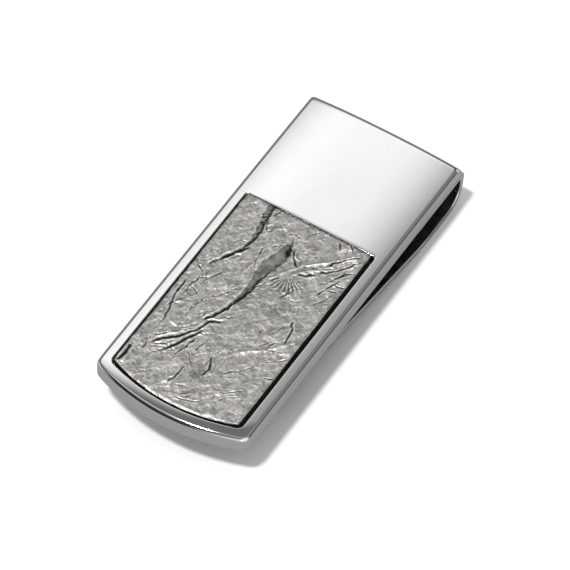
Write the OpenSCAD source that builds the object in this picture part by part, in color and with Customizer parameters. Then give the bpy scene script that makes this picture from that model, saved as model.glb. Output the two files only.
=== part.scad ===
// Dress money clip: a thick crowned front frame with a set-in textured panel,
// and a sprung leaf that folds under it from one end and grips the notes.
//
// Millimetres. X is the width, +Y runs to the folded end, +Z is up out of the
// front face. The clip lies on its leaf: z = 0 is the flat land of the leaf,
// and x = 0, y = 0 is the middle of the footprint.

/* [Overall] */
// Width across the frame
clip_width = 24; // [18:0.5:30]
// Length from the bowed end to the outside of the fold
clip_length = 58; // [48:1:70]

/* [Front frame] */
// Thickness of the frame along its two long edges
frame_edge = 2.6; // [2:0.1:4]
// Extra height of the front face along its middle
crown_rise = 0.4; // [0.1:0.05:0.8]
// Radius of the bowed end, seen from above
bow_radius = 29; // [20:1:60]
// Corner radius at the bowed end, seen from above
corner_radius = 1.5; // [0.5:0.1:3]
// Break along the four long edges
edge_break = 0.35; // [0.1:0.05:0.6]

/* [Pocket and panel] */
// Width of the rim left along each long side
rim_side = 1.8; // [1.2:0.1:3]
// Width of the rim left along the bowed end
rim_bow = 1.8; // [1.2:0.1:3]
// Distance from the bowed end to the straight end of the pocket
pocket_reach = 37.4; // [28:0.1:44]
// Thickness of metal left under the pocket
pocket_floor = 1.7; // [1.2:0.1:2.2]
// Gap between the panel and the rim along the long sides
gap_side = 0.5; // [0.1:0.05:0.6]
// Gap between the panel and the rim at the two ends
gap_end = 0.25; // [0.1:0.05:0.6]
// Height of the panel above the middle of the front face
panel_proud = 0.3; // [0.1:0.05:0.6]
// Thickness of the adhesive under the panel
bond_thick = 0.1; // [0.05:0.01:0.2]

/* [Spring strip] */
// Thickness of the bent strip
strip_thick = 0.8; // [0.6:0.1:1.6]
// Outside radius of the fold
fold_radius = 3.95; // [3:0.05:5]
// Height of the frame's flat back above the rest plane
back_height = 5.05; // [4:0.05:7]
// Length of the strip's foot let into the frame's back
foot_length = 9; // [5:0.5:14]
// Thickness of the braze around the foot
braze_thick = 0.1; // [0.05:0.01:0.2]
// Length of the flat land the clip rests on
land_length = 4; // [2:0.5:8]
// Radius where the land turns up into the straight run
land_radius = 20; // [10:1:40]
// Distance from the middle of the clip to the pinch line
pinch_offset = 12; // [8:0.5:18]
// Clearance at the pinch line with the clip empty
pinch_gap = 0.15; // [0.05:0.05:0.5]
// Inside radius where the leaf turns down into its lip
lip_radius = 6; // [4:0.5:10]
// Slope of the lip, in degrees
lip_slope = 32; // [20:1:45]
// Half width of the leaf where its rounded end begins
tongue_half = 11.2; // [8:0.1:12]
// Radius of the corners of the leaf's rounded end
tongue_corner = 7; // [3:0.5:9]
// Radius of the leaf's rounded end
tongue_bow = 25; // [14:1:40]

/* [Hidden] */
$fn = 96;

polished = [0.86, 0.86, 0.87];
spring_steel = [0.76, 0.77, 0.79];
rock_metal = [0.60, 0.58, 0.55];
glue = [0.20, 0.20, 0.21];
filler = [0.80, 0.78, 0.70];

half = clip_width / 2;
near_y = -clip_length / 2;
edge_top = back_height + frame_edge;
face_top = edge_top + crown_rise;
crown_radius = (half * half + crown_rise * crown_rise) / (2 * crown_rise);
floor_z = back_height + pocket_floor;
panel_base = floor_z + bond_thick;
panel_top = face_top + panel_proud;

// The fold is a half circle of strip. Its centre sits one radius in from the end.
fold_y = clip_length / 2 - fold_radius;
fold_z = fold_radius;
fold_inner = fold_radius - strip_thick;
// The frame's end face leans back and meets the fold tangentially.
end_lean = 20;
pivot_gap = 0.05;
foot_y = fold_y - foot_length + 1;

// The land runs into a gentle arc, a straight run, and the arc of the lip.
land_y = fold_y - land_length;
lip_y = -pinch_offset;
lip_z = back_height - pinch_gap - strip_thick - lip_radius;
run_y = land_y - lip_y;
run_z = land_radius - lip_z;
run_slope = asin((land_radius + lip_radius) / norm([run_y, run_z])) - atan2(run_z, run_y);
strip_mid = lip_radius + strip_thick / 2;
lip_drop = lip_z + strip_mid * cos(lip_slope) - strip_thick / 2;
lip_length = lip_drop / sin(lip_slope);
tip_y = lip_y - strip_mid * sin(lip_slope) - lip_length * cos(lip_slope) - strip_thick / 2;

// Points along an arc, from one angle to another.
function arc_points(cx, cy, r, from, to, steps) = [
    for (i = [0:steps])
        [cx + r * cos(from + (to - from) * i / steps), cy + r * sin(from + (to - from) * i / steps)]
];

// A line of points on the +X side, closed by its own mirror image.
function both_sides(right) = concat(right, [
    for (i = [len(right) - 1:-1:0])
        [-right[i][0], right[i][1]]
]);

// A blunt tongue seen flat: an arc about the origin closes it on the -Y side,
// two sides run up from rounded corners, and a straight edge closes the far side.
module tongue(side, bow, corner, far, far_corner) {
    cx = side - corner;
    cy = sqrt(pow(bow - corner, 2) - cx * cx);
    last = 0.9 * -acos(cx / (bow - corner));
    lead = 0.9 * side;
    near = arc_points(cx, -cy, corner, 0, last, 5);
    tip = near[len(near) - 1];
    intersection() {
        union() {
            circle(bow, $fn = 360);
            translate([-bow, 0])
                square([2 * bow, far + 1]);
        }
        polygon(both_sides(concat(
            arc_points(side - far_corner, far - far_corner, far_corner, 90, 0, 3),
            near,
            [[tip[0] + lead * sin(last), tip[1] - lead * cos(last)]]
        )));
    }
}

// A flat drawing in Y and Z, pushed out along X and centred on x = 0.
module across(width) {
    rotate([90, 0, 90])
        translate([0, 0, -width / 2])
            linear_extrude(width)
                children();
}

// Everything inside the outside line of the frame's end and the fold.
module end_outline() {
    tangent_y = fold_y + fold_radius * cos(end_lean);
    tangent_z = fold_z + fold_radius * sin(end_lean);
    rise = 6;
    top_y = tangent_y - rise * tan(end_lean);
    translate([fold_y, fold_z])
        circle(fold_radius);
    polygon([
        [near_y - 1, 0],
        [fold_y, 0],
        [tangent_y, tangent_z],
        [top_y, tangent_z + rise],
        [near_y - 1, tangent_z + rise]
    ]);
}

// The hollow in the frame's back that takes the foot and its braze.
module foot_recess() {
    intersection() {
        end_outline();
        translate([foot_y - braze_thick, back_height])
            square([clip_length, strip_thick + braze_thick]);
    }
}

// The foot, and the upper quarter of the fold that runs down from it.
module heel_outline() {
    intersection() {
        end_outline();
        translate([foot_y, back_height])
            square([clip_length, strip_thick]);
    }
    difference() {
        intersection() {
            end_outline();
            translate([fold_y, fold_z])
                square([clip_length, back_height - fold_z]);
        }
        translate([fold_y, fold_z])
            circle(fold_inner);
    }
}

// Band that breaks the four long edges. Its own sides stand clear of the frame.
module edge_band() {
    polygon(both_sides([
        [half - edge_break, edge_top + 1],
        [half - edge_break, edge_top],
        [half + 1, edge_top - edge_break - 1],
        [half + 1, back_height + edge_break + 1],
        [half - edge_break, back_height]
    ]));
}

// Crowned plate with a bowed end, a pocket in its face and a recess in its back.
module front_frame() {
    color(polished)
        difference() {
            intersection() {
                linear_extrude(face_top + 1)
                    tongue(half, bow_radius, corner_radius, clip_length, 1);
                translate([0, clip_length, face_top - crown_radius])
                    rotate([90, 0, 0])
                        cylinder(h = clip_length * 2, r = crown_radius, $fn = 720);
                translate([0, clip_length, 0])
                    rotate([90, 0, 0])
                        linear_extrude(clip_length * 2)
                            edge_band();
                across(clip_width + 2)
                    end_outline();
            }
            translate([0, 0, floor_z])
                linear_extrude(face_top)
                    tongue(half - rim_side, bow_radius - rim_bow, 1, near_y + pocket_reach, 0.8);
            translate([0, foot_y - braze_thick + clip_length / 2, back_height])
                cube([clip_width + 2, clip_length, 2 * (strip_thick + braze_thick)], center = true);
        }
}

// Thin even layer that holds the panel down in the pocket.
module inlay_bond() {
    color(glue)
        translate([0, 0, floor_z])
            linear_extrude(bond_thick)
                tongue(half - rim_side - 1, bow_radius - rim_bow - 0.8, 0.6, near_y + pocket_reach - 0.8, 0.6);
}

// Flat slab of textured metal, standing a little proud of the crowned face.
module inlay_panel() {
    side = half - rim_side - gap_side;
    bow = bow_radius - rim_bow - gap_end;
    far = near_y + pocket_reach - gap_end;
    color(rock_metal)
        translate([0, 0, panel_base])
            linear_extrude(panel_top - panel_base)
                tongue(side, bow, 0.4, far, 0.4);
}

// Braze that has run between the foot and the walls of its recess.
module heel_braze() {
    color(filler)
        across(clip_width - 0.4)
            difference() {
                foot_recess();
                heel_outline();
            }
}

// Fixed end of the strip: the foot under the frame and the top of the fold.
module spring_heel() {
    color(spring_steel)
        across(clip_width)
            heel_outline();
}

// Side line of the leaf. The quarter of the fold joins the land, and from there
// one line runs along the upper side, round the lip's end and back underneath.
module leaf_outline() {
    end_r = strip_thick / 2;
    translate([fold_y, fold_z])
        intersection() {
            difference() {
                circle(fold_radius);
                circle(fold_inner);
            }
            translate([0, -fold_radius - 1])
                square([fold_radius + 1, fold_radius + 1 - pivot_gap]);
        }
    polygon(concat(
        [[fold_y, 0], [fold_y, strip_thick]],
        arc_points(land_y, land_radius, land_radius - strip_thick, -90, -90 - run_slope, 2),
        arc_points(lip_y, lip_z, lip_radius + strip_thick, 90 - run_slope, 90 + lip_slope, 10),
        arc_points(tip_y + end_r, end_r, end_r, 90 + lip_slope, 270 + lip_slope, 6),
        arc_points(lip_y, lip_z, lip_radius, 90 + lip_slope, 90 - run_slope, 10),
        arc_points(land_y, land_radius, land_radius, -90 - run_slope, -90, 2)
    ));
}

// The leaf seen flat: full width at the fold, tapering to a rounded tongue.
module leaf_plan() {
    cx = tongue_half - tongue_corner;
    centre_y = tip_y + tongue_bow - 0.4;
    cy = sqrt(pow(tongue_bow - tongue_corner, 2) - cx * cx);
    last = -acos(cx / (tongue_bow - tongue_corner));
    polygon(both_sides(concat(
        [[half, clip_length], [half, land_y - land_length]],
        arc_points(cx, centre_y - cy, tongue_corner, 0, last, 10),
        arc_points(0, centre_y, tongue_bow, (3 * last - 90) / 4, (last - 180) / 3, 2)
    )));
}

// Moving part of the strip: lower fold, land, straight run, pinch line and lip.
module spring_leaf() {
    color(spring_steel)
        intersection() {
            across(clip_width + 2)
                leaf_outline();
            linear_extrude(back_height + 1)
                leaf_plan();
        }
}

front_frame();
inlay_bond();
inlay_panel();
heel_braze();
spring_heel();
spring_leaf();
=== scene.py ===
import math

import bmesh
import bpy
import numpy as np
from mathutils import Matrix, Vector


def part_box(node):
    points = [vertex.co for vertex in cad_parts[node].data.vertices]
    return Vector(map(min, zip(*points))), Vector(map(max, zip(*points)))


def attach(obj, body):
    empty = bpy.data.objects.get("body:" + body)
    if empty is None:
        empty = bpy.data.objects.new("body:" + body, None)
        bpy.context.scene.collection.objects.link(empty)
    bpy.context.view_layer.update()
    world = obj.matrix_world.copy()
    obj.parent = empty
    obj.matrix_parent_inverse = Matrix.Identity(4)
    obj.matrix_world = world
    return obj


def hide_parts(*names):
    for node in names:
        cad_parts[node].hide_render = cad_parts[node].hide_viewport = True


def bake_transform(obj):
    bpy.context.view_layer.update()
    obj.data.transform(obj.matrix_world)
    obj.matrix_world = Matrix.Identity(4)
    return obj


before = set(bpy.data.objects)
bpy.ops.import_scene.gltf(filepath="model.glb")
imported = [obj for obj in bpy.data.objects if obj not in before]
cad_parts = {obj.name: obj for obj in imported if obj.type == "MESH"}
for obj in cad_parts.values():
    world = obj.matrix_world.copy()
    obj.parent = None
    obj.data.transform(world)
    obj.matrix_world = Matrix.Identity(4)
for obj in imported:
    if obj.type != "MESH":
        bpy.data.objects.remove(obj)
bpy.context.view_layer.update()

# ---------------------------------------------------------------- front frame
# The clip's heavy front plate: brass or steel bar, sawn to a bowed end, with a
# shallow pocket milled for the inlay, then plated and polished to a mirror.
# Its face is softly crowned and every long edge is eased on the wheel.
MM = 0.001
frame_lo, frame_hi = (np.array(c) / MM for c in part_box("front_frame"))
braze_lo, braze_hi = (np.array(c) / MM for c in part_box("heel_braze"))
HALF = frame_hi[0]                  # half the clip's width
BOW = -frame_lo[1]                  # radius of the bowed end, about the row's middle
BACK = frame_lo[2]                  # flat back of the plate
CROWN_TOP = frame_hi[2]
CROWN = 0.4                         # rise of the face to its middle
CROWN_POWER = 3.4
PILLOW, PILLOW_WIDTH = 0.30, 2.4    # the face rolls down towards the bowed end
EDGE_ROUND, BACK_ROUND, RIM_ROUND = 0.6, 0.35, 0.2
LEAN = math.tan(math.radians(20))   # the fold end leans back
SHOULDER = CROWN_TOP - CROWN        # height of the face along its long edges
END_Y = 28.12                       # fold end, at shoulder height
END_BULGE = 0.22                    # of the fold end, in plan
END_FALL = 0.10                     # of the face, from the pocket to the fold end
NEAR_CORNER, FAR_CORNER, SQUARE_CORNER = 1.5, 1.0, 0.12
SEAT_Y, SEAT_Z = braze_lo[1], braze_hi[2]   # step that the spring's foot sits in
POCKET_HALF, POCKET_BOW, POCKET_FAR, POCKET_CORNER = 10.2, 27.2, 8.4, 1.0
POCKET_FAR_CORNER = 0.3
POCKET_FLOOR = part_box("inlay_bond")[0][2] / MM
FLOOR_EASE = 0.12                   # fillet between the pocket's floor and its wall


def ramp(value, start, end):
    """Smooth step: 0 before start, 1 after end, and 3t2 - 2t3 of the way between."""
    t = np.clip((value - start) / (end - start), 0, 1)
    return t * t * (3 - 2 * t)


def surface(name, points, around=False):
    """Object made from a grid of points, rows by columns by 3, in millimetres: one quad
    between each four neighbours. With around, the last column joins the first."""
    rows, columns = points.shape[:2]
    index = np.arange(rows * columns).reshape(rows, columns)
    if around:
        index = np.hstack([index, index[:, :1]])
    quads = np.stack([index[:-1, :-1], index[:-1, 1:], index[1:, 1:], index[1:, :-1]], -1)
    mesh = bpy.data.meshes.new(name)
    mesh.from_pydata((points.reshape(-1, 3) * MM).tolist(), [], quads.reshape(-1, 4).tolist())
    piece = bpy.data.objects.new(name, mesh)
    bpy.context.scene.collection.objects.link(piece)
    return piece


def close_up(piece, sharp_degrees=38):
    """Merges doubles, drops empty faces, turns normals outwards, and shades smooth except
    along edges sharper than the given angle."""
    work = bmesh.new()
    work.from_mesh(piece.data)
    bmesh.ops.remove_doubles(work, verts=work.verts, dist=0.002 * MM)
    bmesh.ops.dissolve_degenerate(work, edges=work.edges, dist=0.001 * MM)
    bmesh.ops.recalc_face_normals(work, faces=work.faces)
    work.to_mesh(piece.data)
    work.free()
    piece.data.polygons.foreach_set("use_smooth", [True] * len(piece.data.polygons))
    piece.data.set_sharp_from_angle(angle=math.radians(sharp_degrees))
    return piece


def plate_line(half, bow, near_corner, far_y, far_corner, bulge=0.0, seat=False):
    """Closed plan line of the plate or its pocket. From the middle of the bowed end it runs
    along a circle about the row's middle, round a corner arc tangent to it, up the straight
    side, round the far corner and along the slightly bulging far end; then mirrored back.
    With seat, the side has two points close together where the foot's step is."""
    cx = half - near_corner
    beta = math.asin(cx / (bow - near_corner))
    cy = -(bow - near_corner) * math.cos(beta)
    a = np.linspace(0, beta, 34)
    bowed = np.stack([bow * np.sin(a), -bow * np.cos(a)], -1)
    a = np.linspace(beta, math.pi / 2, 12)[1:]
    corner = np.stack([cx + near_corner * np.sin(a), cy - near_corner * np.cos(a)], -1)
    top = far_y - bulge - far_corner
    if seat:
        y = np.concatenate([np.linspace(cy, SEAT_Y - 0.01, 40)[1:],
                            np.linspace(SEAT_Y + 0.01, top, 10)])
    else:
        y = np.linspace(cy, top, 50)[1:]
    side = np.stack([np.full_like(y, half), y], -1)
    a = np.linspace(0, math.pi / 2, 10)[1:]
    fx = half - far_corner
    far = np.stack([fx + far_corner * np.cos(a), top + far_corner * np.sin(a)], -1)
    x = np.linspace(fx, 0, 34)[1:]
    end = np.stack([x, far_y - bulge * (x / fx) ** 2], -1)
    right = np.concatenate([bowed, corner, side, far, end])
    left = right[-2:0:-1] * (-1, 1)
    return np.concatenate([right, left])


def face_height(xy):
    """Height of the polished face: shoulder, plus a crown that is flat in the middle and
    falls as a power of the distance from it, less a roll-off near the bowed end and a slight
    fall towards the fold."""
    x, y = xy[:, 0], xy[:, 1]
    crown = CROWN * (1 - np.abs(x / HALF) ** CROWN_POWER)
    roll = PILLOW * np.clip(1 - (BOW - np.hypot(x, y)) / PILLOW_WIDTH, 0, 1) ** 2 * (y < 0)
    fall = END_FALL * np.clip((y - POCKET_FAR) / (END_Y - POCKET_FAR), 0, 1) ** 2
    return SHOULDER + crown - roll - fall


def outer_line(inset, square=0.0):
    """The plate's outline, moved inwards. Square, 0 to 1, draws its far corners in tighter."""
    far_corner = (FAR_CORNER - inset) * (1 - square) + SQUARE_CORNER * square
    return plate_line(HALF - inset, BOW - inset, NEAR_CORNER - inset, END_Y - inset, far_corner,
                      END_BULGE, True)


def pocket_line(outset):
    """The pocket's outline, moved outwards."""
    return plate_line(POCKET_HALF + outset, POCKET_BOW + outset, POCKET_CORNER + outset,
                      POCKET_FAR + outset, POCKET_FAR_CORNER + outset)


def level(xy, z):
    """A row of the plate: plan points with their heights. Below the shoulder, the fold end
    moves outwards with depth, because it leans."""
    z = np.broadcast_to(z, len(xy)).astype(float)
    share = np.clip((xy[:, 1] - SEAT_Y) / (END_Y - SEAT_Y), 0, 1)
    y = xy[:, 1] + share * np.maximum(SHOULDER - z, -CROWN) * LEAN * (z < CROWN_TOP)
    return np.stack([xy[:, 0], y, z], -1)


def plate_rows():
    """Rows of the plate, from the middle of the pocket floor, up the pocket wall, over the
    rim and the face, round the edge, down the side and across the back to its middle."""
    rows = []
    floor = pocket_line(-FLOOR_EASE)
    rows += [level(floor * (s, 1), POCKET_FLOOR) for s in (0, 0.5, 0.85, 1)]
    rim = pocket_line(RIM_ROUND)
    rim_z = face_height(rim)
    wall = pocket_line(0)
    wall_low = POCKET_FLOOR + FLOOR_EASE
    rows += [np.column_stack([wall, wall_low + (rim_z - RIM_ROUND - POCKET_FLOOR - FLOOR_EASE) * s])
             for s in (0, 0.5, 1)]
    for a in np.linspace(0, math.pi / 2, 7)[1:]:
        line = pocket_line(RIM_ROUND * (1 - math.cos(a)))
        rows.append(np.column_stack([line, rim_z - RIM_ROUND * (1 - math.sin(a))]))
    edge = outer_line(EDGE_ROUND)
    for s in np.linspace(0, 1, 46)[1:]:
        line = rim * (1 - s) + edge * s
        flat = np.column_stack([line, face_height(line)])
        rows.append(flat * (1 - s) + level(line, face_height(line)) * s)
    for a in np.linspace(0, math.pi / 2, 12)[1:]:
        line = outer_line(EDGE_ROUND * (1 - math.sin(a)), 0.4 * a)
        rows.append(level(line, face_height(line) - EDGE_ROUND * (1 - math.cos(a))))
    line = outer_line(0, 1.0)
    over_seat = line[:, 1] > SEAT_Y
    start = face_height(line) - EDGE_ROUND
    foot = np.where(over_seat, SEAT_Z, BACK + BACK_ROUND)
    rows += [level(line, start + (foot - start) * s) for s in (0.25, 0.5, 0.75, 1)]
    for a in np.linspace(0, math.pi / 2, 8)[1:]:
        low = outer_line(BACK_ROUND * (1 - math.cos(a)), 1.0)
        rows.append(level(low, np.where(over_seat, SEAT_Z, BACK + BACK_ROUND * (1 - math.sin(a)))))
    rows += [level(low * (s, 1), np.where(over_seat, SEAT_Z, BACK)) for s in (0.8, 0.5, 0)]
    return np.array(rows)


def wire(tree, kind, inputs=(), **settings):
    """One shader node with its settings, and its inputs set: a socket is linked, and
    anything else is a plain value."""
    made = tree.nodes.new(kind)
    for key, value in settings.items():
        setattr(made, key, value)
    for key, value in dict(inputs).items():
        if isinstance(value, bpy.types.NodeSocket):
            tree.links.new(value, made.inputs[key])
        else:
            made.inputs[key].default_value = value
    return made


def polish_marks():
    """Group: what the polishing wheel and the pocket leave on plated metal. Fine lines along
    Y (noise stretched along the clip) and faint handling smears. Gives a shade that the
    colour is multiplied by, a roughness and a height."""
    tree = bpy.data.node_groups.new("polish_marks", "ShaderNodeTree")
    face = tree.interface
    for name, value in (("Line Strength", 1.0), ("Smear", 0.5), ("Base Roughness", 0.08)):
        face.new_socket(name, in_out="INPUT", socket_type="NodeSocketFloat").default_value = value
    for name in ("Shade", "Roughness", "Height"):
        face.new_socket(name, in_out="OUTPUT", socket_type="NodeSocketFloat")
    given = wire(tree, "NodeGroupInput").outputs
    place = wire(tree, "ShaderNodeTexCoord").outputs["Object"]
    stretched = wire(tree, "ShaderNodeMapping", {"Vector": place, "Scale": (9000, 260, 9000)}).outputs[0]
    lines = wire(tree, "ShaderNodeTexNoise", {"Vector": stretched, "Scale": 1.0,
                                              "Detail": 4.0}).outputs["Fac"]
    smear = wire(tree, "ShaderNodeTexNoise", {"Vector": place, "Scale": 190.0, "Detail": 5.0,
                                              "Roughness": 0.6, "Distortion": 0.8}).outputs["Fac"]
    patch = wire(tree, "ShaderNodeMapRange", {"Value": smear, "From Min": 0.42, "From Max": 0.75},
                 interpolation_type="SMOOTHSTEP").outputs[0]
    patch = wire(tree, "ShaderNodeMath", {0: patch, 1: given["Smear"]}, operation="MULTIPLY").outputs[0]
    fine = wire(tree, "ShaderNodeMath", {0: lines, 1: given["Line Strength"]},
                operation="MULTIPLY").outputs[0]
    rough = wire(tree, "ShaderNodeMath", {0: patch, 1: 0.09, 2: given["Base Roughness"]},
                 operation="MULTIPLY_ADD").outputs[0]
    rough = wire(tree, "ShaderNodeMath", {0: fine, 1: 0.05, 2: rough}, operation="MULTIPLY_ADD").outputs[0]
    shade = wire(tree, "ShaderNodeMath", {0: patch, 1: -0.05, 2: 1.0}, operation="MULTIPLY_ADD").outputs[0]
    shade = wire(tree, "ShaderNodeMath", {0: fine, 1: -0.02, 2: shade}, operation="MULTIPLY_ADD").outputs[0]
    out = wire(tree, "NodeGroupOutput")
    for name, value in (("Shade", shade), ("Roughness", rough), ("Height", fine)):
        tree.links.new(value, out.inputs[name])
    return tree


def polished_finish(name, colour, lines, smear, roughness, marks):
    """Plated and polished metal: the colour times the polishing marks' shade, their
    roughness, and their height as a very shallow bump."""
    finish = bpy.data.materials.new(name)
    finish.use_nodes = True
    tree = finish.node_tree
    shader = tree.nodes["Principled BSDF"]
    worn = wire(tree, "ShaderNodeGroup", node_tree=marks)
    for key, value in (("Line Strength", lines), ("Smear", smear), ("Base Roughness", roughness)):
        worn.inputs[key].default_value = value
    tint = wire(tree, "ShaderNodeVectorMath", {0: colour, 3: worn.outputs["Shade"]},
                operation="SCALE").outputs[0]
    bump = wire(tree, "ShaderNodeBump", {"Strength": 0.05, "Distance": 0.00001,
                                         "Height": worn.outputs["Height"]})
    tree.links.new(tint, shader.inputs["Base Color"])
    tree.links.new(worn.outputs["Roughness"], shader.inputs["Roughness"])
    tree.links.new(bump.outputs[0], shader.inputs["Normal"])
    shader.inputs["Metallic"].default_value = 1.0
    return finish


marks = polish_marks()
mirror_plate = polished_finish("mirror_plate", (0.93, 0.93, 0.94), 0.5, 0.35, 0.07, marks)
frame_shell = close_up(surface("frame_shell", plate_rows(), around=True))
frame_shell.data.materials.append(mirror_plate)
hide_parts("front_frame")
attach(frame_shell, "frame_body")

# ------------------------------------------------------------- adhesive film
# A thin bed of two-part adhesive, brushed on the pocket floor. It holds the
# inlay and stops short of its edge. Its near black colour is painted shade: it
# shows only as the dark bottom of the gap.
def adhesive_with_painted_shade_finish():
    """Cured adhesive, coloured near black as painted shade for the bottom of the gap;
    faintly mottled, with a fine uneven skin.
    """
    finish = bpy.data.materials.new("adhesive_with_painted_shade")
    finish.use_nodes = True
    tree = finish.node_tree
    shader = tree.nodes["Principled BSDF"]
    place = wire(tree, "ShaderNodeTexCoord").outputs["Object"]
    mottle = wire(tree, "ShaderNodeTexNoise", {"Vector": place, "Scale": 900.0, "Detail": 5.0}).outputs["Fac"]
    tint = wire(tree, "ShaderNodeMix", {"Factor": mottle, 6: (0.004, 0.004, 0.005, 1),
                                        7: (0.02, 0.02, 0.022, 1)}, data_type="RGBA").outputs[2]
    rough = wire(tree, "ShaderNodeMapRange", {"Value": mottle, "To Min": 0.55, "To Max": 0.85}).outputs[0]
    bump = wire(tree, "ShaderNodeBump", {"Strength": 0.6, "Distance": 0.00005, "Height": mottle})
    tree.links.new(tint, shader.inputs["Base Color"])
    tree.links.new(rough, shader.inputs["Roughness"])
    tree.links.new(bump.outputs[0], shader.inputs["Normal"])
    shader.inputs["Specular IOR Level"].default_value = 0.15
    return finish


inlay_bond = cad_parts["inlay_bond"]
inlay_bond.data.materials.clear()
inlay_bond.data.materials.append(adhesive_with_painted_shade_finish())

# ----------------------------------------------------------- crumpled inlay
# The inlay: sheet metal crumpled by hand, pressed on a backing plate, blackened,
# then rubbed back so that the ridges shine and the folds stay dark. It is
# trimmed with a bare gap to the pocket wall.
# The overlaps' falling faces and the inlay's side walls are coloured dark as painted shade.
panel_lo, panel_hi = (np.array(c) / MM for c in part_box("inlay_panel"))
PANEL_HALF = panel_hi[0]
PANEL_BOW = -panel_lo[1]
PANEL_FAR = panel_hi[1]
PANEL_LOW, PANEL_HIGH = panel_lo[2], panel_hi[2]
SET_LEFT, SET_BACK = 0.2, 0.1       # the sheet is cut this much wider to the left and back
PANEL_CORNER = 0.3
RELIEF = 0.46                       # depth of the crumpled top


def lattice(x, y, seed):
    """Smooth random heights from 0 to 1: a random number at each whole point, blended across
    each cell by the curve 6t5 - 15t4 + 10t3."""
    table = np.random.default_rng(seed).random((97, 97))
    ix, iy = np.floor(x).astype(int), np.floor(y).astype(int)
    fx, fy = x - ix, y - iy
    fx, fy = fx ** 3 * (fx * (6 * fx - 15) + 10), fy ** 3 * (fy * (6 * fy - 15) + 10)
    a, b = table[ix % 97, iy % 97], table[(ix + 1) % 97, iy % 97]
    c, d = table[ix % 97, (iy + 1) % 97], table[(ix + 1) % 97, (iy + 1) % 97]
    return (a * (1 - fx) + b * fx) * (1 - fy) + (c * (1 - fx) + d * fx) * fy


def folds(x, y, size, seed, turn=0.6, stretch=1.7):
    """Sharp folds about size millimetres apart, from 0 in a valley to 1 on a ridge: one less
    twice the distance of a bent random height from its middle, on axes turned and stretched
    so that the folds run mostly one way."""
    bent_x = x + 0.45 * size * (lattice(x / size * 0.7, y / size * 0.7, seed + 1) - 0.5)
    bent_y = y + 0.45 * size * (lattice(x / size * 0.7, y / size * 0.7, seed + 2) - 0.5)
    along = (bent_x * math.cos(turn) + bent_y * math.sin(turn)) / (size * stretch)
    across = (-bent_x * math.sin(turn) + bent_y * math.cos(turn)) / size
    return 1 - np.abs(2 * lattice(along, across, seed) - 1)


def line_reach(x, y, line):
    """For each point: its distance from a bent line, on which side of it the point lies
    (negative is left of the way it runs), and how far along it the nearest place is, 0 to 1."""
    line = np.array(line, float)
    near = np.full(x.shape, 1e9)
    side, along = np.zeros(x.shape), np.zeros(x.shape)
    pieces = len(line) - 1
    for k in range(pieces):
        (ax, ay), (bx, by) = line[k], line[k + 1]
        dx, dy = bx - ax, by - ay
        t = np.clip(((x - ax) * dx + (y - ay) * dy) / (dx * dx + dy * dy), 0, 1)
        gap = np.hypot(x - ax - t * dx, y - ay - t * dy)
        closer = gap < near
        near = np.where(closer, gap, near)
        side = np.where(closer, np.sign((x - ax) * dy - (y - ay) * dx), side)
        along = np.where(closer, (k + t) / pieces, along)
    return near, side, along


# Steps where one crumpled layer lies over the next: line, fall to its +X side, share of
# the line over which the step opens, width of the face painted dark, and how dark it is.
# That dark on each falling face is painted shade.
OVERLAPS = (
    ([(-6.5, 8.3), (-6.2, 6.0), (-5.6, 3.4), (-5.3, 1.4), (-5.8, -0.4), (-7.0, -3.0), (-8.2, -4.8)],
     0.28, 0.01, 1.0, 0.50),
    ([(-0.7, 5.2), (-0.9, 3.2), (-1.5, 1.0), (-2.0, -1.0), (-1.8, -3.2), (-1.5, -5.0), (-1.6, -7.0),
      (-2.0, -9.2), (-2.9, -11.4), (-3.7, -13.3)], 0.34, 0.22, 1.9, 0.50),
)
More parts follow.
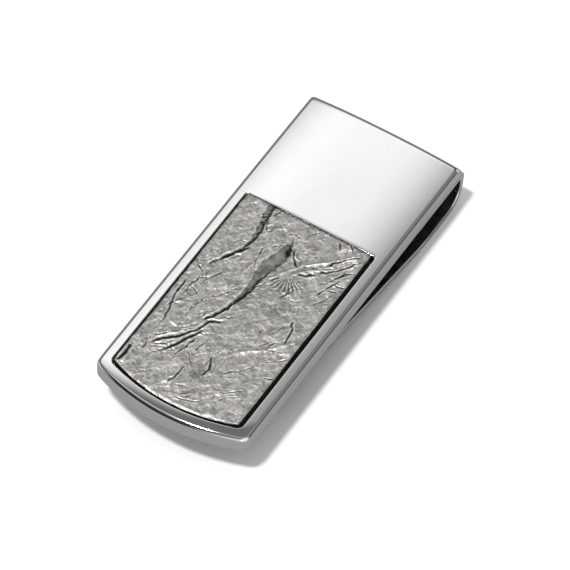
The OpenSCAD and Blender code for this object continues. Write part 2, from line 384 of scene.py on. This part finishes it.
# Narrow clefts: line, width, depth, darkness.
CLEFTS = (
    ([(-4.7, 0.7), (-5.5, -0.8), (-6.4, -2.0), (-7.0, -3.3)], 0.16, 0.20, 1.0),
    ([(-1.8, -8.6), (-1.7, -9.8), (-2.6, -11.6), (-3.5, -13.2)], 0.17, 0.20, 1.0),
    ([(-0.9, -11.7), (-2.7, -13.0), (-3.0, -14.6), (-4.6, -16.9), (-6.4, -18.6), (-7.6, -20.3)],
     0.19, 0.25, 1.0),
    ([(-2.3, -14.4), (-3.3, -16.2), (-4.4, -18.6), (-5.7, -20.4)], 0.20, 0.24, 1.0),
    ([(-3.4, -14.6), (-4.9, -16.2), (-6.3, -17.6), (-7.9, -18.9)], 0.11, 0.16, 0.8),
    ([(-2.5, -16.2), (-3.0, -18.0), (-3.6, -20.2)], 0.11, 0.14, 0.7),
    ([(-9.3, -21.6), (-9.2, -23.3), (-9.5, -24.9)], 0.22, 0.20, 1.0),
    ([(-9.2, -5.7), (-8.2, -6.0), (-7.5, -6.6)], 0.09, 0.10, 0.7),
    ([(0.6, 3.3), (1.5, 1.9), (2.3, 1.2)], 0.12, 0.14, 0.8),
    ([(3.1, 0.2), (4.3, 0.6), (5.2, 1.6)], 0.16, 0.16, 0.9),
    ([(4.9, 8.0), (5.9, 6.6)], 0.10, 0.12, 0.8),
    ([(6.4, 8.1), (7.4, 7.5)], 0.12, 0.14, 0.9),
    ([(9.2, 7.4), (7.7, 6.0), (6.5, 4.6), (5.7, 3.6)], 0.13, 0.18, 0.9),
    ([(9.5, 6.6), (8.1, 4.6), (6.7, 2.9), (5.2, 1.7)], 0.13, 0.16, 0.85),
    ([(8.9, 4.2), (7.6, 2.0), (7.0, 0.6)], 0.11, 0.13, 0.7),
    ([(8.7, 2.6), (7.6, 0.1), (7.0, -1.4)], 0.10, 0.12, 0.7),
    ([(6.6, -6.7), (7.4, -8.0), (7.6, -9.6), (7.9, -10.6)], 0.12, 0.13, 0.8),
    ([(0.9, -17.6), (1.6, -19.6), (1.4, -21.0)], 0.14, 0.10, 0.6),
    ([(-1.4, -20.6), (-1.6, -23.0), (-1.9, -24.6)], 0.12, 0.12, 0.6),
    ([(-9.0, -8.2), (-9.0, -11.0), (-8.5, -13.4), (-7.8, -16.6)], 0.13, 0.12, 0.55),
    ([(-7.5, -6.6), (-8.0, -9.0), (-8.3, -12.0)], 0.10, 0.10, 0.5),
)
# Raised folds: line, width, height.
RIDGES = (
    ([(2.2, -20.8), (2.2, -18.4), (2.6, -16.4), (3.9, -14.8), (6.0, -13.1), (8.2, -10.7), (9.5, -8.9)],
     0.20, 0.12),
    ([(0.0, -3.6), (1.2, -0.8), (2.8, 1.5), (4.9, 3.3), (7.3, 5.3), (9.4, 7.7)], 0.17, 0.16),
    ([(2.4, -0.7), (3.7, 1.2), (6.5, 2.8), (8.4, 4.9), (9.5, 6.1)], 0.15, 0.13),
    ([(4.6, 2.2), (7.0, 4.2), (8.9, 6.7)], 0.13, 0.10),
    ([(-1.6, 1.4), (-2.9, -1.9), (-3.0, -3.6)], 0.22, 0.10),
    ([(-7.3, -15.6), (-5.9, -15.9), (-4.6, -14.9), (-3.3, -13.0)], 0.16, 0.10),
    ([(-6.9, -18.2), (-5.1, -16.7), (-3.9, -15.2)], 0.12, 0.10),
    ([(0.6, 4.4), (1.2, 2.6), (2.4, 2.2)], 0.15, 0.10),
    ([(2.6, -3.7), (4.2, -3.3), (6.0, -4.6), (6.5, -6.2)], 0.14, 0.08),
)
# Patches coloured darker: x, y, reach, how dark.
DARK_PATCHES = ((3.4, -6.4, 2.2, 0.26), (0.2, -6.8, 1.8, 0.16), (1.2, -20.8, 1.6, 0.26),
          (3.0, 0.3, 1.5, 0.24), (0.3, 2.9, 0.9, 0.42), (-4.0, -17.4, 1.5, 0.3),
          (6.3, -8.9, 1.2, 0.2), (-8.4, -10.5, 1.3, 0.15), (2.5, 5.5, 1.8, 0.12))
HUB = (2.4, -0.6)                   # where the fan of small folds starts
SWIRL = (4.4, -5.6)                 # middle of the oval whorl
SMALL_CREASES = 90                  # short creases scattered by chance


def crumple(x, y):
    """Height and darkening of the crumpled sheet. Height: a slow swell and folds of four sizes,
    the finer three calmed on the overlaps' faces; then the creases, ridges, fan and whorl
    added. Darkening: painted shade on the overlaps' faces; dark patina along creases and
    in the fan; and darker patches."""
    height = 0.10 * lattice(x / 5.2, y / 5.2, 11) + 0.06 * lattice(x / 2.3 + 5, y / 2.3, 12)
    height += 0.09 * folds(x, y, 1.6, 21, turn=0.95, stretch=2.0)
    fine = 0.075 * folds(x, y, 0.8, 31, turn=0.7) * (0.4 + 0.9 * lattice(x / 2, y / 2, 32))
    fine += 0.050 * folds(x, y, 0.42, 41, turn=1.2, stretch=1.5) * (0.4 + lattice(x / 1.2, y / 1.2, 42))
    fine += 0.030 * folds(x, y, 0.27, 43, turn=0.2, stretch=1.3)
    dark, calm = np.zeros(x.shape), np.zeros(x.shape)
    wander_x = x + 0.26 * (lattice(x * 1.6, y * 1.6, 51) - 0.5)
    wander_y = y + 0.26 * (lattice(x * 1.6, y * 1.6, 52) - 0.5)
    for line, fall, opening, width, shade in OVERLAPS:
        gap, side, along = line_reach(wander_x, wander_y, line)
        taper = ramp(along, -0.01, opening / 2) * (1 - ramp(along, 0.96, 1.0))
        taper *= 1 - 0.4 * ramp(along, 0.6, 1.0)
        right = np.where(side > 0, -gap, gap)
        w = width * (0.2 + 0.8 * ramp(along, 0, opening)) * (1.1 - 0.8 * ramp(along, opening, 0.75))
        face = ramp(right, 0, w)
        height += fall * taper * (0.5 - face) * np.exp(-(gap / 2.6) ** 2)
        # Painted shade: the falling face of each overlap is coloured dark.
        inside = ramp(right, -0.04, 0.05) * (1 - ramp(right, w * 0.85, w * 1.1))
        dark = np.maximum(dark, shade * inside * taper)
        calm = np.maximum(calm, ramp(right, 0, 0.12) * (1 - ramp(right, w * 0.8, w * 1.1)) * taper)
    height += fine * (1 - 0.8 * calm)
    draw = np.random.default_rng(7)
    small = []
    for _ in range(SMALL_CREASES):
        start = draw.uniform((-9.4, -26.5), (9.4, 8.0))
        turn, size = draw.normal(0.95, 0.55), draw.uniform(0.7, 2.4)
        bend = start + size * np.array([math.cos(turn), math.sin(turn)])
        turn += draw.normal(0, 0.5)
        small.append(([start, bend, bend + size * np.array([math.cos(turn), math.sin(turn)])],
                      draw.uniform(0.05, 0.10), draw.uniform(0.04, 0.11), draw.uniform(0.3, 0.85)))
    for line, width, depth, shade in CLEFTS + tuple(small):
        gap, _, along = line_reach(wander_x, wander_y, line)
        taper = ramp(along, -0.02, 0.15) * (1 - ramp(along, 0.8, 1.02))
        if width < 0.12:
            taper *= 0.35 + 0.65 * ramp(lattice(x * 1.7, y * 1.7, 53), 0.25, 0.6)
        shape = np.exp(-(gap / width) ** 2) * taper
        height -= depth * shape - 0.35 * depth * np.exp(-((gap - 2 * width) / width) ** 2) * taper
        dark = np.maximum(dark, shade * np.exp(-(gap / (0.8 * width)) ** 4) * taper)
    for line, width, rise in RIDGES:
        gap, _, along = line_reach(wander_x, wander_y, line)
        taper = ramp(along, -0.02, 0.12) * (1 - ramp(along, 0.85, 1.02))
        height += rise * np.exp(-np.abs(gap / width) ** 1.4) * taper
    dx, dy = x - HUB[0], y - HUB[1]
    away, bearing = np.hypot(dx, dy), np.arctan2(dy, dx)
    spread = ramp(away, 0.3, 0.8) * (1 - ramp(away, 2.2, 3.4)) * (1 - ramp(np.abs(bearing + 1.5), 0.9, 1.5))
    pleats = np.cos(bearing * 26 + 2 * lattice(x, y, 61))
    height += 0.055 * spread * pleats
    dark = np.maximum(dark, 0.35 * spread * (0.5 - 0.5 * pleats))
    ring = np.hypot((x - SWIRL[0]) * 0.85 + (y - SWIRL[1]) * 0.25, (y - SWIRL[1]) * 0.75)
    height += 0.020 * np.cos(ring * 8.5 + 2.5 * lattice(x, y, 62)) * (1 - ramp(ring, 0.9, 1.9))
    for px, py, reach, shade in DARK_PATCHES:
        dark = dark + shade * np.exp(-((x - px) ** 2 + (y - py) ** 2) / reach ** 2)
    return height, dark


def box_blur(values, reach):
    """Mean over a square of 2 x reach + 1 grid steps, by running sums each way."""
    padded = np.pad(values, reach, mode="edge")
    span = 2 * reach + 1
    for axis in (0, 1):
        total = np.cumsum(np.insert(padded, 0, 0, axis=axis), axis=axis)
        first = np.take(total, np.arange(total.shape[axis] - span), axis=axis)
        last = np.take(total, np.arange(span, total.shape[axis]), axis=axis)
        padded = (last - first) / span
    return padded


def inlay_grid(columns=196, lengths=348):
    """Top of the inlay: columns spread across its width, lengths from the bowed end to the
    far end, the far corners drawn in by a quarter circle; then the crumpled heights, made
    lower at the cut edge. Gives the points, the darkening (patina, heavier in the hollows,
    with the painted shade of the overlaps' faces) and how far each is rubbed."""
    across = np.linspace(-1, 1, columns)[None, :]
    far, corner = PANEL_FAR + SET_BACK, PANEL_CORNER
    half = np.where(across < 0, PANEL_HALF + SET_LEFT, PANEL_HALF)
    share = np.linspace(0, 1, lengths)[:, None]
    x = across * half
    near = -np.sqrt(PANEL_BOW ** 2 - x ** 2)
    y = near + (far - near) * share
    from_end = np.minimum(y - near, far - y)
    inset = corner - np.sqrt(np.maximum(corner ** 2 - np.clip(corner - from_end, 0, corner) ** 2, 0))
    x = across * (half - inset)
    height, dark = crumple(x, y)
    low = box_blur(height, 3) - height
    wide = box_blur(height, 9) - height
    dark = np.clip(dark + 7.0 * np.clip(low, 0, 1) + 2.2 * np.clip(wide, 0, 1), 0, 1)
    bright = np.clip(9.0 * np.clip(-low, 0, 1), 0, 1)
    lowest, highest = np.percentile(height, 0.5), np.percentile(height, 99.7)
    height = (height - lowest) / (highest - lowest)
    to_edge = np.minimum(PANEL_HALF * (1 - np.abs(across)), from_end)
    z = PANEL_HIGH - RELIEF * (1 - np.clip(height, -0.3, 1))
    z = z - (0.10 + 0.10 * lattice(x * 1.3, y * 1.3, 71)) * (1 - ramp(to_edge, 0, 0.28))
    return np.stack([np.broadcast_to(x, y.shape), y, z], -1), dark, bright


def inlay_mesh():
    """The inlay's skin: the crumpled top, and rows round its edge that go down to the
    underside, with a slightly torn wall, and close in its middle."""
    top, dark, bright = inlay_grid()
    rows, columns = top.shape[:2]
    index = np.arange(rows * columns).reshape(rows, columns)
    quads = np.stack([index[:-1, :-1], index[:-1, 1:], index[1:, 1:], index[1:, :-1]], -1).reshape(-1, 4)
    rim = np.concatenate([index[0, :-1], index[:-1, -1], index[-1, :0:-1], index[:0:-1, 0]])
    edge = top.reshape(-1, 3)[rim]
    middle = np.array([0, (PANEL_FAR - PANEL_BOW) / 2, 0])
    rings, count = [], len(rim)
    for s in (0.12, 0.35, 0.65, 1.0):
        ring = edge.copy()
        ring[:, 2] += (PANEL_LOW - edge[:, 2]) * s
        pull = 0.02 + 0.05 * lattice(edge[:, 0] * 3.1 + 9 * s, edge[:, 1] * 3.1, 81)
        inwards = middle[:2] - ring[:, :2]
        ring[:, :2] += inwards / np.linalg.norm(inwards, axis=1)[:, None] * pull[:, None]
        rings.append(ring)
    under = rings[-1].copy()
    under[:, 0] *= 0.0
    rings.append(under)
    points = np.concatenate([top.reshape(-1, 3)] + rings)
    loops = [rim] + [rows * columns + k * count + np.arange(count) for k in range(len(rings))]
    walls = [np.stack([a, np.roll(a, -1), np.roll(b, -1), b], -1) for a, b in zip(loops[:-1], loops[1:])]
    mesh = bpy.data.meshes.new("crumpled_inlay")
    mesh.from_pydata((points * MM).tolist(), [], np.concatenate([quads] + walls).tolist())
    # The side walls get full darkness: painted shade for the black gap round the inlay.
    for name, values, wall in (("tarnish_and_painted_shade", dark, 1.3), ("rubbed", bright, 0.0)):
        layer = mesh.attributes.new(name, "FLOAT", "POINT")
        layer.data.foreach_set("value", np.concatenate([values.ravel(), np.full(len(rings) * count, wall)]))
    piece = bpy.data.objects.new("crumpled_inlay", mesh)
    bpy.context.scene.collection.objects.link(piece)
    return piece


def crumpled_finish():
    """Blackened metal, rubbed back: warm grey where rubbed, near black in the patina and in
    the painted shade of the overlaps' faces and side walls, with mottling, a fine tooth in
    the bump, and a duller skin where it is dark."""
    finish = bpy.data.materials.new("crumpled_metal_finish")
    finish.use_nodes = True
    tree = finish.node_tree
    shader = tree.nodes["Principled BSDF"]
    place = wire(tree, "ShaderNodeTexCoord").outputs["Object"]
    tarnish_and_painted_shade = wire(tree, "ShaderNodeAttribute", attribute_name="tarnish_and_painted_shade").outputs["Fac"]
    rubbed = wire(tree, "ShaderNodeAttribute", attribute_name="rubbed").outputs["Fac"]
    mottle = wire(tree, "ShaderNodeTexNoise", {"Vector": place, "Scale": 700.0, "Detail": 7.0,
                                               "Roughness": 0.65, "Distortion": 1.2}).outputs["Fac"]
    speck = wire(tree, "ShaderNodeTexNoise", {"Vector": place, "Scale": 2600.0, "Detail": 4.0,
                                              "Roughness": 0.7}).outputs["Fac"]
    body = wire(tree, "ShaderNodeMix", {"Factor": wire(tree, "ShaderNodeMapRange", {
        "Value": mottle, "From Min": 0.35, "From Max": 0.66}, interpolation_type="SMOOTHSTEP").outputs[0],
        6: (0.36, 0.348, 0.328, 1), 7: (0.66, 0.642, 0.61, 1)}, data_type="RGBA").outputs[2]
    body = wire(tree, "ShaderNodeMix", {"Factor": rubbed, 6: body, 7: (0.97, 0.96, 0.93, 1)},
                data_type="RGBA").outputs[2]
    patina_and_painted_shade = wire(tree, "ShaderNodeMath", {0: speck, 1: 0.20, 2: -0.10}, operation="MULTIPLY_ADD").outputs[0]
    patina_and_painted_shade = wire(tree, "ShaderNodeMath", {0: tarnish_and_painted_shade, 1: patina_and_painted_shade}, operation="ADD", use_clamp=True).outputs[0]
    tint = wire(tree, "ShaderNodeMix", {"Factor": patina_and_painted_shade, 6: body, 7: (0.012, 0.011, 0.010, 1)},
                data_type="RGBA").outputs[2]
    rough = wire(tree, "ShaderNodeMath", {0: patina_and_painted_shade, 1: 0.35, 2: 0.34}, operation="MULTIPLY_ADD").outputs[0]
    rough = wire(tree, "ShaderNodeMath", {0: mottle, 1: 0.16, 2: rough}, operation="MULTIPLY_ADD").outputs[0]
    tooth = wire(tree, "ShaderNodeMath", {0: mottle, 1: 0.6, 2: speck}, operation="MULTIPLY_ADD").outputs[0]
    bump = wire(tree, "ShaderNodeBump", {"Strength": 0.75, "Distance": 0.00007, "Height": tooth})
    tree.links.new(tint, shader.inputs["Base Color"])
    tree.links.new(rough, shader.inputs["Roughness"])
    tree.links.new(bump.outputs[0], shader.inputs["Normal"])
    shader.inputs["Metallic"].default_value = 0.75
    return finish


crumpled_inlay = close_up(inlay_mesh(), 60)
crumpled_inlay.data.materials.append(crumpled_finish())
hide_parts("inlay_panel")
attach(crumpled_inlay, "frame_body")

# --------------------------------------------------------------- heel braze
# Silver braze that joins the spring's foot to the step in the plate's back. It is
# drawn in by heat as a thin film, and dressed flush, so only a fine seam shows.
heel_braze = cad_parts["heel_braze"]
heel_braze.data.materials.clear()
heel_braze.data.materials.append(
    polished_finish("dressed_braze", (0.74, 0.72, 0.66), 1.0, 0.9, 0.22, marks))

# -------------------------------------------------------------- spring strip
# One strip of spring steel, bent round a mandrel: foot under the plate, round fold,
# flat land, rising leaf, pinch line and turned-down lip. Hardened, then polished with
# the plate. It flexes in the lower half of the fold.
heel_lo, heel_hi = (np.array(c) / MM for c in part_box("spring_heel"))
FOOT_TOP = heel_hi[2]
GAUGE = FOOT_TOP - BACK
FOLD_R = 3.95                       # outside of the fold
FOLD_Y = heel_hi[1] - FOLD_R
FOOT_Y = heel_lo[1]
LAND = 4.0                          # length of the flat that the clip lies on
RUN_START_R = 20.0                  # easy bend from the land into the rising run
PINCH_Y, PINCH_Z, PINCH_R = -12.0, -1.9, 6.0
across_run, up_run = FOLD_Y - LAND - PINCH_Y, RUN_START_R - PINCH_Z
# The run touches both bends, so its slope follows from their radii and places.
RUN_SLOPE = math.asin((RUN_START_R + PINCH_R) / math.hypot(across_run, up_run)) \
    - math.atan2(up_run, across_run)
LIP_SLOPE = math.radians(32)
TIP_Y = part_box("spring_leaf")[0][1] / MM
TIP_BOW, BOW_FROM = 25.0, 14.5      # radius of the bowed tip, and where the bow starts
STRIP_EDGE = 0.22                   # rounding of the edges on the inside of the fold
FOOT_EDGE, FOLD_EDGE = 0.04, 0.38   # of those on its outside, in the foot and past it
FOOT_STEPS, CORNER_STEPS = 26, 12


def arc(cy, cz, outer, inner, start, end, count):
    """Paired points on two circles with one middle: at each angle, one on the outer and one
    on the inner circle."""
    a = np.linspace(start, end, count)
    both = [np.stack([cy + r * np.cos(a), cz + r * np.sin(a)], -1) for r in (outer, inner)]
    return np.stack(both, 1)


def bar(start, end, count):
    """Paired points along a straight part: both of a pair move evenly from start to end."""
    t = np.linspace(0, 1, count)[:, None, None]
    return np.array(start)[None] * (1 - t) + np.array(end)[None] * t


def strip_path():
    """The strip's side view as pairs of points (y, z), outside of the fold first. Foot,
    corner under the leaning end, fold, land, easy bend, run, pinch arc, lip. In the leaf,
    the outside of the fold is the underside."""
    inner_a = math.asin((BACK - FOLD_R) / (FOLD_R - GAUGE))
    inner_y = FOLD_Y + (FOLD_R - GAUGE) * math.cos(inner_a)
    end_y = END_Y + (SHOULDER - FOOT_TOP) * LEAN
    end_a = math.atan2(FOOT_TOP - FOLD_R, end_y - FOLD_Y)
    swell = math.hypot(FOOT_TOP - FOLD_R, end_y - FOLD_Y) - FOLD_R
    foot = bar([(FOOT_Y, FOOT_TOP), (FOOT_Y, BACK)],
               [(inner_y - 0.8, FOOT_TOP), (inner_y - 0.8, BACK)], FOOT_STEPS)
    corner = bar(foot[-1], [(end_y - 0.03, FOOT_TOP), (inner_y - 0.05, BACK)], CORNER_STEPS)[1:]
    a = np.linspace(0, 1, 70)
    out_a = end_a + (-math.pi / 2 - end_a) * a
    in_a = inner_a + (-math.pi / 2 - inner_a) * a
    out_r = FOLD_R + swell * ramp(out_a / end_a, 0, 1)
    fold = np.stack([np.stack([FOLD_Y + out_r * np.cos(out_a), FOLD_R + out_r * np.sin(out_a)], -1),
                     np.stack([FOLD_Y + (FOLD_R - GAUGE) * np.cos(in_a),
                               FOLD_R + (FOLD_R - GAUGE) * np.sin(in_a)], -1)], 1)
    land_y = FOLD_Y - LAND
    land = bar(fold[-1], [(land_y, 0), (land_y, GAUGE)], 16)[1:]
    ease = arc(land_y, RUN_START_R, RUN_START_R, RUN_START_R - GAUGE, -math.pi / 2,
               -math.pi / 2 - RUN_SLOPE, 14)[1:]
    pinch = arc(PINCH_Y, PINCH_Z, PINCH_R, PINCH_R + GAUGE, math.pi / 2 - RUN_SLOPE,
                math.pi / 2 + LIP_SLOPE, 40)
    run = bar(ease[-1], pinch[0], 60)[1:-1]
    way = np.array([-math.cos(LIP_SLOPE), -math.sin(LIP_SLOPE)])
    middle = pinch[-1].mean(0)
    reach = (middle[0] - GAUGE / 2 - TIP_Y) / math.cos(LIP_SLOPE)
    lip = bar(pinch[-1], pinch[-1] + way * reach, 26)[1:]
    a = np.linspace(0, math.pi / 2, 9)[1:, None, None]
    half = (lip[-1] - lip[-1].mean(0)) * np.cos(a)
    tip = lip[-1].mean(0) + way * GAUGE / 2 * np.sin(a) + half
    return np.concatenate([foot, corner, fold, land, ease, run, pinch, lip, tip])


def strip_half_width(y, leaf):
    """Half width of the strip at a place along it: full in the foot, fold and land; in the
    leaf a slight taper to the tongue, then a large corner arc towards the bowed tip."""
    tongue, corner, tongue_y = 11.2, 7.0, -13.3
    taper = HALF - (HALF - tongue) * np.clip((FOOT_Y - y) / (FOOT_Y - tongue_y), 0, 1)
    into = np.clip(tongue_y - y, 0, corner * 0.985)
    rounded = tongue - corner + np.sqrt(corner ** 2 - into ** 2)
    return np.where(leaf, np.where(y < tongue_y, rounded, taper), HALF)


def strip_rows():
    """The strip's skin: at each pair of the path, a rounded rectangle between the two points
    and across the width. Its corners are quarter circles. The tip is bowed in plan: its
    rows draw back along the lip by the height of a circle's arc at that distance out."""
    path = strip_path()
    middle, half = path.mean(1), (path[:, 0] - path[:, 1]) / 2
    steps = np.linalg.norm(np.diff(middle, axis=0), axis=1)
    gone = np.concatenate([[0], np.cumsum(steps)])
    leaf = gone > gone[np.argmax(middle[:, 0])]
    width = strip_half_width(middle[:, 0], leaf)
    thick = np.linalg.norm(half, axis=1)
    fold_start = gone[FOOT_STEPS + CORNER_STEPS - 1]
    top_edge = FOOT_EDGE + (FOLD_EDGE - FOOT_EDGE) * ramp(gone, fold_start, fold_start + 2.0)
    top_edge = np.minimum(top_edge, thick)[:, None]
    low_edge = np.minimum(STRIP_EDGE, thick)[:, None]
    thick = np.maximum(thick, 1e-6)[:, None]
    a = np.linspace(0, math.pi / 2, 7)[None]
    across = np.linspace(1, -1, 43)[None, 1:-1]
    width = width[:, None]
    upper_x = width - top_edge * (1 - np.cos(a))
    upper_z = (thick - top_edge * (1 - np.sin(a))) / thick
    lower_x = width - low_edge * (1 - np.cos(a))
    lower_z = -(thick - low_edge * (1 - np.sin(a))) / thick
    ones = np.ones((len(path), across.shape[1]))
    x = np.hstack([upper_x, across * (width - top_edge), -upper_x[:, ::-1],
                   -lower_x, -across * (width - low_edge), lower_x[:, ::-1]])
    rise = np.hstack([upper_z, ones, upper_z[:, ::-1], lower_z, -ones, lower_z[:, ::-1]])
    yz = middle[:, None] + half[:, None] * rise[..., None]
    drawn = ramp(-middle[:, 0], BOW_FROM, -TIP_Y - 0.3)[:, None] \
        * (TIP_BOW - np.sqrt(TIP_BOW ** 2 - x ** 2))
    yz = yz + drawn[..., None] * np.array([math.cos(LIP_SLOPE), math.sin(LIP_SLOPE)])
    rows = np.concatenate([x[..., None], yz], -1)
    closing = rows[:1].copy()
    closing[..., 1:] = middle[0]
    return np.concatenate([closing, rows])


spring_strip = close_up(surface("spring_strip", strip_rows(), around=True), 30)
spring_strip.data.materials.append(
    polished_finish("polished_spring", (0.86, 0.86, 0.88), 0.9, 0.5, 0.09, marks))
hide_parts("spring_heel", "spring_leaf")
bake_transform(spring_strip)

# -------------------------------------------------------------- studio table
# A white laminate table under the clip, seamless and matt, wide enough to fill
# every view. It isn't part of the object.
def table_finish():
    """Matt white laminate with the faintest mottling. To glossy rays it is painted mid grey:
    a painted dark reflection in the metal, standing in for the shade on the table round the clip."""
    finish = bpy.data.materials.new("white_table")
    finish.use_nodes = True
    tree = finish.node_tree
    shader = tree.nodes["Principled BSDF"]
    place = wire(tree, "ShaderNodeTexCoord").outputs["Object"]
    cloud = wire(tree, "ShaderNodeTexNoise", {"Vector": place, "Scale": 60.0, "Detail": 3.0}).outputs["Fac"]
    tint = wire(tree, "ShaderNodeMix", {"Factor": cloud, 6: (0.90, 0.90, 0.90, 1), 7: (0.92, 0.92, 0.92, 1)},
                data_type="RGBA").outputs[2]
    # Painted reflection: where the metal mirrors the table, the table is coloured mid grey.
    in_metal = wire(tree, "ShaderNodeLightPath").outputs["Is Glossy Ray"]
    painted_reflection_tint = wire(tree, "ShaderNodeMix", {"Factor": in_metal, 6: tint, 7: (0.27, 0.27, 0.27, 1)},
                    data_type="RGBA").outputs[2]
    tree.links.new(painted_reflection_tint, shader.inputs["Base Color"])
    shader.inputs["Roughness"].default_value = 0.9
    shader.inputs["Specular IOR Level"].default_value = 0.0
    return finish


TABLE, TABLE_Z = 3000.0, -0.02      # half its width, and its height just under the clip
corners = np.array([[[-TABLE, -TABLE, TABLE_Z], [TABLE, -TABLE, TABLE_Z]],
                    [[-TABLE, TABLE, TABLE_Z], [TABLE, TABLE, TABLE_Z]]])
studio_table = surface("studio_table", corners)
studio_table.data.materials.append(table_finish())

# ------------------------------------------------------------- studio lights
# A dim room with a large soft box high at the back left, a narrow strip over the near
# end, a fill at the front right, three low windows round the room, and one small lamp
# overhead for the shadow.
world = bpy.data.worlds.new("studio")
bpy.context.scene.world = world
world.use_nodes = True
sky = world.node_tree
sky.nodes.clear()
look = wire(sky, "ShaderNodeTexCoord").outputs["Generated"]
axes = wire(sky, "ShaderNodeSeparateXYZ", {0: look}).outputs


def glow(towards, narrow, wide, strength):
    """Soft round light: strength inside the narrow angle about a direction, fading smoothly
    to nothing at the wide one."""
    facing = wire(sky, "ShaderNodeVectorMath", {0: look, 1: Vector(towards).normalized()},
                  operation="DOT_PRODUCT").outputs["Value"]
    return wire(sky, "ShaderNodeMapRange", {"Value": facing, "From Min": math.cos(math.radians(wide)),
                                            "From Max": math.cos(math.radians(narrow)), "To Max": strength},
                interpolation_type="SMOOTHSTEP").outputs[0]


def between(axis, low, high, soft, strength=1.0):
    """Soft band: strength where the direction's axis value is from low to high."""
    up = wire(sky, "ShaderNodeMapRange", {"Value": axes[axis], "From Min": low - soft, "From Max": low},
              interpolation_type="SMOOTHSTEP").outputs[0]
    down = wire(sky, "ShaderNodeMapRange", {"Value": axes[axis], "From Min": high, "From Max": high + soft,
                                            "To Min": strength, "To Max": 0.0},
                interpolation_type="SMOOTHSTEP").outputs[0]
    return wire(sky, "ShaderNodeMath", {0: up, 1: down}, operation="MULTIPLY").outputs[0]


def added(first, second, operation="ADD"):
    """One value added to, or multiplied by, another."""
    return wire(sky, "ShaderNodeMath", {0: first, 1: second}, operation=operation).outputs[0]


soft_box = glow((-0.62, 0.66, 0.42), 24, 43, 0.92)
strip_light = added(between("Y", -0.22, -0.15, 0.10, 0.8), between("Z", 0.75, 2.0, 0.1), "MULTIPLY")
# The strip light is weaker towards its right end.
fade = wire(sky, "ShaderNodeMapRange", {"Value": axes["X"], "From Min": -0.42, "From Max": -0.10,
                                        "To Min": 1.0, "To Max": 0.35},
            interpolation_type="SMOOTHSTEP").outputs[0]
strip_light = added(strip_light, fade, "MULTIPLY")
fill = glow((0.80, -0.45, 0.36), 12, 40, 0.75)
lit = added(added(soft_box, strip_light), 0.15)
lit = added(lit, added(between("Z", 0.765, 2.0, 0.17, 0.86), 0.16), "MULTIPLY")
lit = added(lit, fill)
for window in ((-0.95, -0.28, 0.15), (0.35, -0.90, 0.25), (0.42, 0.88, 0.20)):
    lit = added(lit, glow(window, 8, 29, 0.5))
right_wall = wire(sky, "ShaderNodeMapRange", {"Value": axes["X"], "From Min": 0.05, "From Max": 0.4,
                                              "To Max": 0.11}, interpolation_type="SMOOTHSTEP").outputs[0]
lit = added(lit, right_wall)
# What lights the matt table is the whole even room; the metal mirrors the boxes.
matt = wire(sky, "ShaderNodeLightPath").outputs["Is Diffuse Ray"]
lit = wire(sky, "ShaderNodeMix", {"Factor": matt, 2: lit, 3: 0.62}, data_type="FLOAT").outputs[0]
background = wire(sky, "ShaderNodeBackground", {"Color": (1, 1, 1, 1), "Strength": lit})
sky.links.new(background.outputs[0], wire(sky, "ShaderNodeOutputWorld").inputs["Surface"])

lamp = bpy.data.lights.new("overhead_lamp", "SUN")
lamp.energy = 2.3
lamp.angle = math.radians(7)
overhead = bpy.data.objects.new("overhead_lamp", lamp)
bpy.context.scene.collection.objects.link(overhead)
overhead.rotation_euler = Vector((-0.14, -0.32, 1.0)).to_track_quat("Z", "Y").to_euler()

# -------------------------------------------------------------------- camera
# A long lens from the front right, well above the clip, rolled very slightly.
AZIMUTH, ELEVATION, ROLL = (math.radians(d) for d in (30.874, 52.920, 1.639))
AIM, DISTANCE = Vector((1.808, -0.893, 6.0)) * MM, 790.6 * MM
back = Vector((math.sin(AZIMUTH) * math.cos(ELEVATION), -math.cos(AZIMUTH) * math.cos(ELEVATION),
               math.sin(ELEVATION)))
right = Vector((0, 0, 1)).cross(back).normalized()
upward = back.cross(right)
rolled_right = right * math.cos(ROLL) + upward * math.sin(ROLL)
rolled_up = upward * math.cos(ROLL) - right * math.sin(ROLL)
lens = bpy.data.cameras.new("camera")
lens.lens = 371.5
lens.sensor_width = 36.0
lens.clip_start = 0.01
camera = bpy.data.objects.new("camera", lens)
bpy.context.scene.collection.objects.link(camera)
camera.matrix_world = Matrix.Translation(AIM + back * DISTANCE) @ Matrix(
    (rolled_right, rolled_up, back)).transposed().to_4x4()
bpy.context.scene.camera = camera
bpy.context.scene.view_settings.view_transform = "Standard"
